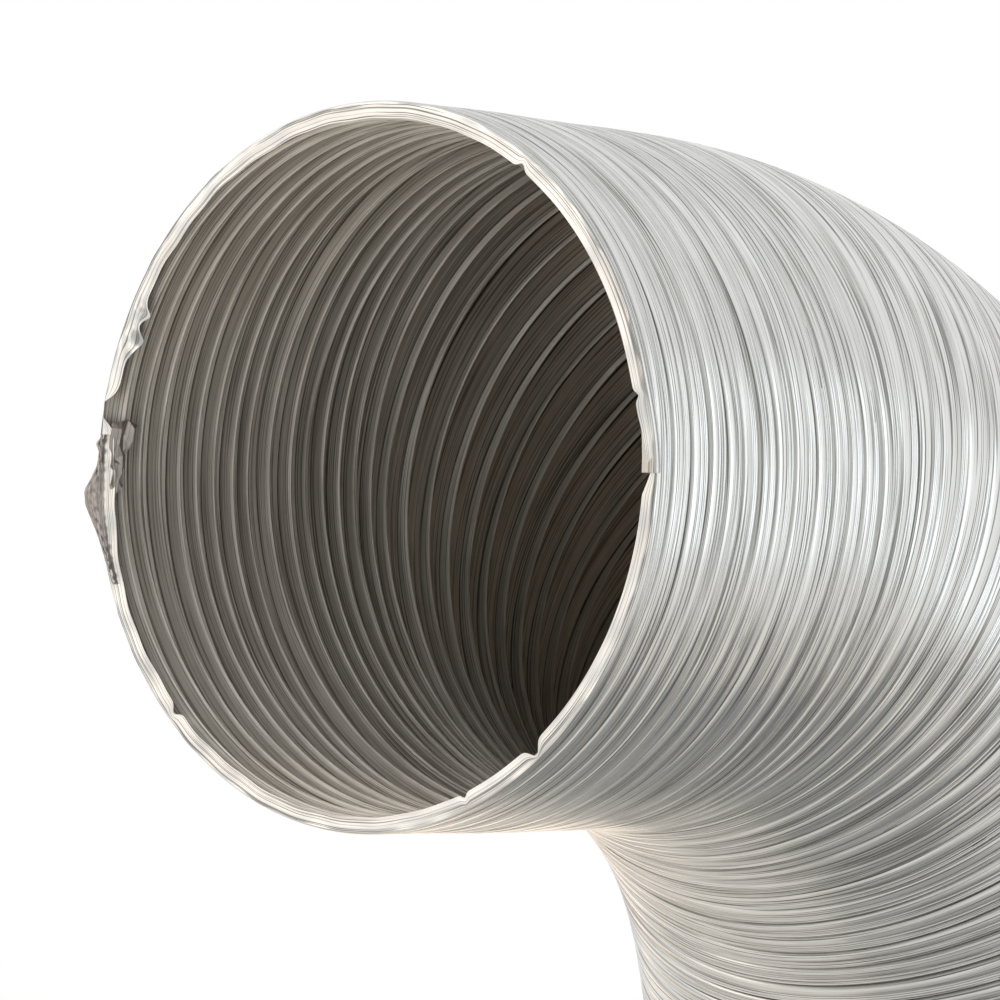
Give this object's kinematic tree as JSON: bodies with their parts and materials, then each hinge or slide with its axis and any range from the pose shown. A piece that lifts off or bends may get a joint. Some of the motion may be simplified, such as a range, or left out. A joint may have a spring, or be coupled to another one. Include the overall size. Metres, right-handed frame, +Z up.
{
  "type": "flexible air duct",
  "caption": "Semi-rigid flexible aluminium air duct: a pleated strip wound and lock-seamed into a tube, bent to an elbow, with both ends cut open.",
  "frame": {"origin": "centre of the lower end, in the plane of its flat rim, on the floor", "axes": "+Z up the leg, -Y out of the mouth, +X completes a right-handed frame"},
  "size_m": [0.133, 0.2859, 0.436],
  "materials": {
    "pleats": "satin rolled strip",
    "seam": "satin, folded and rolled flat",
    "cuff": "satin with a raw cut rim"
  },
  "bodies": {
    "base": {"base_cuff": "cuff", "lock_seam_00": "seam", "leg_pleats_01": "pleats"},
    "hoop_01": {"lock_seam_01": "seam", "leg_pleats_02": "pleats"},
    "hoop_02": {"lock_seam_02": "seam", "leg_pleats_03": "pleats"},
    "hoop_03": {"lock_seam_03": "seam", "leg_pleats_04": "pleats"},
    "hoop_04": {"lock_seam_04": "seam", "leg_pleats_05": "pleats"},
    "hoop_05": {"lock_seam_05": "seam", "leg_pleats_06": "pleats"},
    "hoop_06": {"lock_seam_06": "seam", "leg_pleats_07": "pleats"},
    "hoop_07": {"lock_seam_07": "seam", "leg_pleats_08": "pleats"},
    "hoop_08": {"lock_seam_08": "seam", "leg_pleats_09": "pleats"},
    "hoop_09": {"lock_seam_09": "seam", "leg_pleats_10": "pleats"},
    "hoop_10": {"lock_seam_10": "seam", "elbow_pleats_01": "pleats"},
    "hoop_11": {"lock_seam_11": "seam", "elbow_pleats_02": "pleats"},
    "hoop_12": {"lock_seam_12": "seam", "elbow_pleats_03": "pleats"},
    "hoop_13": {"lock_seam_13": "seam", "elbow_pleats_04": "pleats"},
    "hoop_14": {"lock_seam_14": "seam", "elbow_pleats_05": "pleats"},
    "hoop_15": {"lock_seam_15": "seam", "elbow_pleats_06": "pleats"},
    "hoop_16": {"lock_seam_16": "seam", "elbow_pleats_07": "pleats"},
    "hoop_17": {"lock_seam_17": "seam", "elbow_pleats_08": "pleats"},
    "hoop_18": {"lock_seam_18": "seam", "elbow_pleats_09": "pleats"},
    "hoop_19": {"lock_seam_19": "seam", "elbow_pleats_10": "pleats"},
    "hoop_20": {"lock_seam_20": "seam", "mouth_pleats_01": "pleats"},
    "hoop_21": {"lock_seam_21": "seam", "mouth_pleats_02": "pleats"},
    "hoop_22": {"lock_seam_22": "seam", "mouth_cuff": "cuff"}
  },
  "joints": [
    {"name": "leg_stretch_01", "type": "slide", "parent": "base", "child": "hoop_01", "axis": [0, 0, 1], "range_m": [-0.004, 0.015], "deforming": ["leg_pleats_01"]},
    {"name": "leg_stretch_02", "type": "slide", "parent": "hoop_01", "child": "hoop_02", "axis": [0, 0, 1], "range_m": [-0.004, 0.015], "deforming": ["leg_pleats_02"]},
    {"name": "leg_stretch_03", "type": "slide", "parent": "hoop_02", "child": "hoop_03", "axis": [0, 0, 1], "range_m": [-0.004, 0.015], "deforming": ["leg_pleats_03"]},
    {"name": "leg_stretch_04", "type": "slide", "parent": "hoop_03", "child": "hoop_04", "axis": [0, 0, 1], "range_m": [-0.004, 0.015], "deforming": ["leg_pleats_04"]},
    {"name": "leg_stretch_05", "type": "slide", "parent": "hoop_04", "child": "hoop_05", "axis": [0, 0, 1], "range_m": [-0.004, 0.015], "deforming": ["leg_pleats_05"]},
    {"name": "leg_stretch_06", "type": "slide", "parent": "hoop_05", "child": "hoop_06", "axis": [0, 0, 1], "range_m": [-0.004, 0.015], "deforming": ["leg_pleats_06"]},
    {"name": "leg_lean_01", "type": "hinge", "parent": "hoop_06", "child": "hoop_07", "pos_m": [0, 0, 0.15395], "axis": [0, 1, 0], "range_deg": [-3, 3], "deforming": ["leg_pleats_07"]},
    {"name": "leg_lean_02", "type": "hinge", "parent": "hoop_07", "child": "hoop_08", "pos_m": [0, 0, 0.17195], "axis": [0, 1, 0], "range_deg": [-3, 3], "deforming": ["leg_pleats_08"]},
    {"name": "leg_lean_03", "type": "hinge", "parent": "hoop_08", "child": "hoop_09", "pos_m": [0, 0, 0.18995], "axis": [0, 1, 0], "range_deg": [-3, 3], "deforming": ["leg_pleats_09"]},
    {"name": "leg_lean_04", "type": "hinge", "parent": "hoop_09", "child": "hoop_10", "pos_m": [0, 0, 0.20795], "axis": [0, 1, 0], "range_deg": [-3, 3], "deforming": ["leg_pleats_10"]},
    {"name": "elbow_bend_01", "type": "hinge", "parent": "hoop_10", "child": "hoop_11", "pos_m": [0, -0.00047, 0.22892], "axis": [1, 0, 0], "range_deg": [-18, 0], "deforming": ["elbow_pleats_01"]},
    {"name": "elbow_bend_02", "type": "hinge", "parent": "hoop_11", "child": "hoop_12", "pos_m": [0, -0.00421, 0.25255], "axis": [1, 0, 0], "range_deg": [-18, 0], "deforming": ["elbow_pleats_02"]},
    {"name": "elbow_bend_03", "type": "hinge", "parent": "hoop_12", "child": "hoop_13", "pos_m": [0, -0.01161, 0.27531], "axis": [1, 0, 0], "range_deg": [-18, 0], "deforming": ["elbow_pleats_03"]},
    {"name": "elbow_bend_04", "type": "hinge", "parent": "hoop_13", "child": "hoop_14", "pos_m": [0, -0.02247, 0.29663], "axis": [1, 0, 0], "range_deg": [-18, 0], "deforming": ["elbow_pleats_04"]},
    {"name": "elbow_bend_05", "type": "hinge", "parent": "hoop_14", "child": "hoop_15", "pos_m": [0, -0.03654, 0.31599], "axis": [1, 0, 0], "range_deg": [-18, 0], "deforming": ["elbow_pleats_05"]},
    {"name": "elbow_bend_06", "type": "hinge", "parent": "hoop_15", "child": "hoop_16", "pos_m": [0, -0.05346, 0.33291], "axis": [1, 0, 0], "range_deg": [-18, 0], "deforming": ["elbow_pleats_06"]},
    {"name": "elbow_bend_07", "type": "hinge", "parent": "hoop_16", "child": "hoop_17", "pos_m": [0, -0.07282, 0.34698], "axis": [1, 0, 0], "range_deg": [-18, 0], "deforming": ["elbow_pleats_07"]},
    {"name": "elbow_bend_08", "type": "hinge", "parent": "hoop_17", "child": "hoop_18", "pos_m": [0, -0.09414, 0.35784], "axis": [1, 0, 0], "range_deg": [-18, 0], "deforming": ["elbow_pleats_08"]},
    {"name": "elbow_bend_09", "type": "hinge", "parent": "hoop_18", "child": "hoop_19", "pos_m": [0, -0.1169, 0.36524], "axis": [1, 0, 0], "range_deg": [-18, 0], "deforming": ["elbow_pleats_09"]},
    {"name": "elbow_bend_10", "type": "hinge", "parent": "hoop_19", "child": "hoop_20", "pos_m": [0, -0.14053, 0.36898], "axis": [1, 0, 0], "range_deg": [-18, 0], "deforming": ["elbow_pleats_10"]},
    {"name": "mouth_stretch_01", "type": "slide", "parent": "hoop_20", "child": "hoop_21", "axis": [0, -1, 0], "range_m": [0, 0.018], "deforming": ["mouth_pleats_01"]},
    {"name": "mouth_stretch_02", "type": "slide", "parent": "hoop_21", "child": "hoop_22", "axis": [0, -1, 0], "range_m": [0, 0.018], "deforming": ["mouth_pleats_02"]}
  ],
  "couplings": [
    {"joint": "leg_stretch_02", "follows": "leg_stretch_01", "ratio": 1},
    {"joint": "leg_stretch_03", "follows": "leg_stretch_01", "ratio": 1},
    {"joint": "leg_stretch_04", "follows": "leg_stretch_01", "ratio": 1},
    {"joint": "leg_stretch_05", "follows": "leg_stretch_01", "ratio": 1},
    {"joint": "leg_stretch_06", "follows": "leg_stretch_01", "ratio": 1},
    {"joint": "leg_lean_02", "follows": "leg_lean_01", "ratio": 1},
    {"joint": "leg_lean_03", "follows": "leg_lean_01", "ratio": 1},
    {"joint": "leg_lean_04", "follows": "leg_lean_01", "ratio": 1},
    {"joint": "elbow_bend_02", "follows": "elbow_bend_01", "ratio": 1},
    {"joint": "elbow_bend_03", "follows": "elbow_bend_01", "ratio": 1},
    {"joint": "elbow_bend_04", "follows": "elbow_bend_01", "ratio": 1},
    {"joint": "elbow_bend_05", "follows": "elbow_bend_01", "ratio": 1},
    {"joint": "elbow_bend_06", "follows": "elbow_bend_01", "ratio": 1},
    {"joint": "elbow_bend_07", "follows": "elbow_bend_01", "ratio": 1},
    {"joint": "elbow_bend_08", "follows": "elbow_bend_01", "ratio": 1},
    {"joint": "elbow_bend_09", "follows": "elbow_bend_01", "ratio": 1},
    {"joint": "elbow_bend_10", "follows": "elbow_bend_01", "ratio": 1},
    {"joint": "mouth_stretch_02", "follows": "mouth_stretch_01", "ratio": 1}
  ]
}
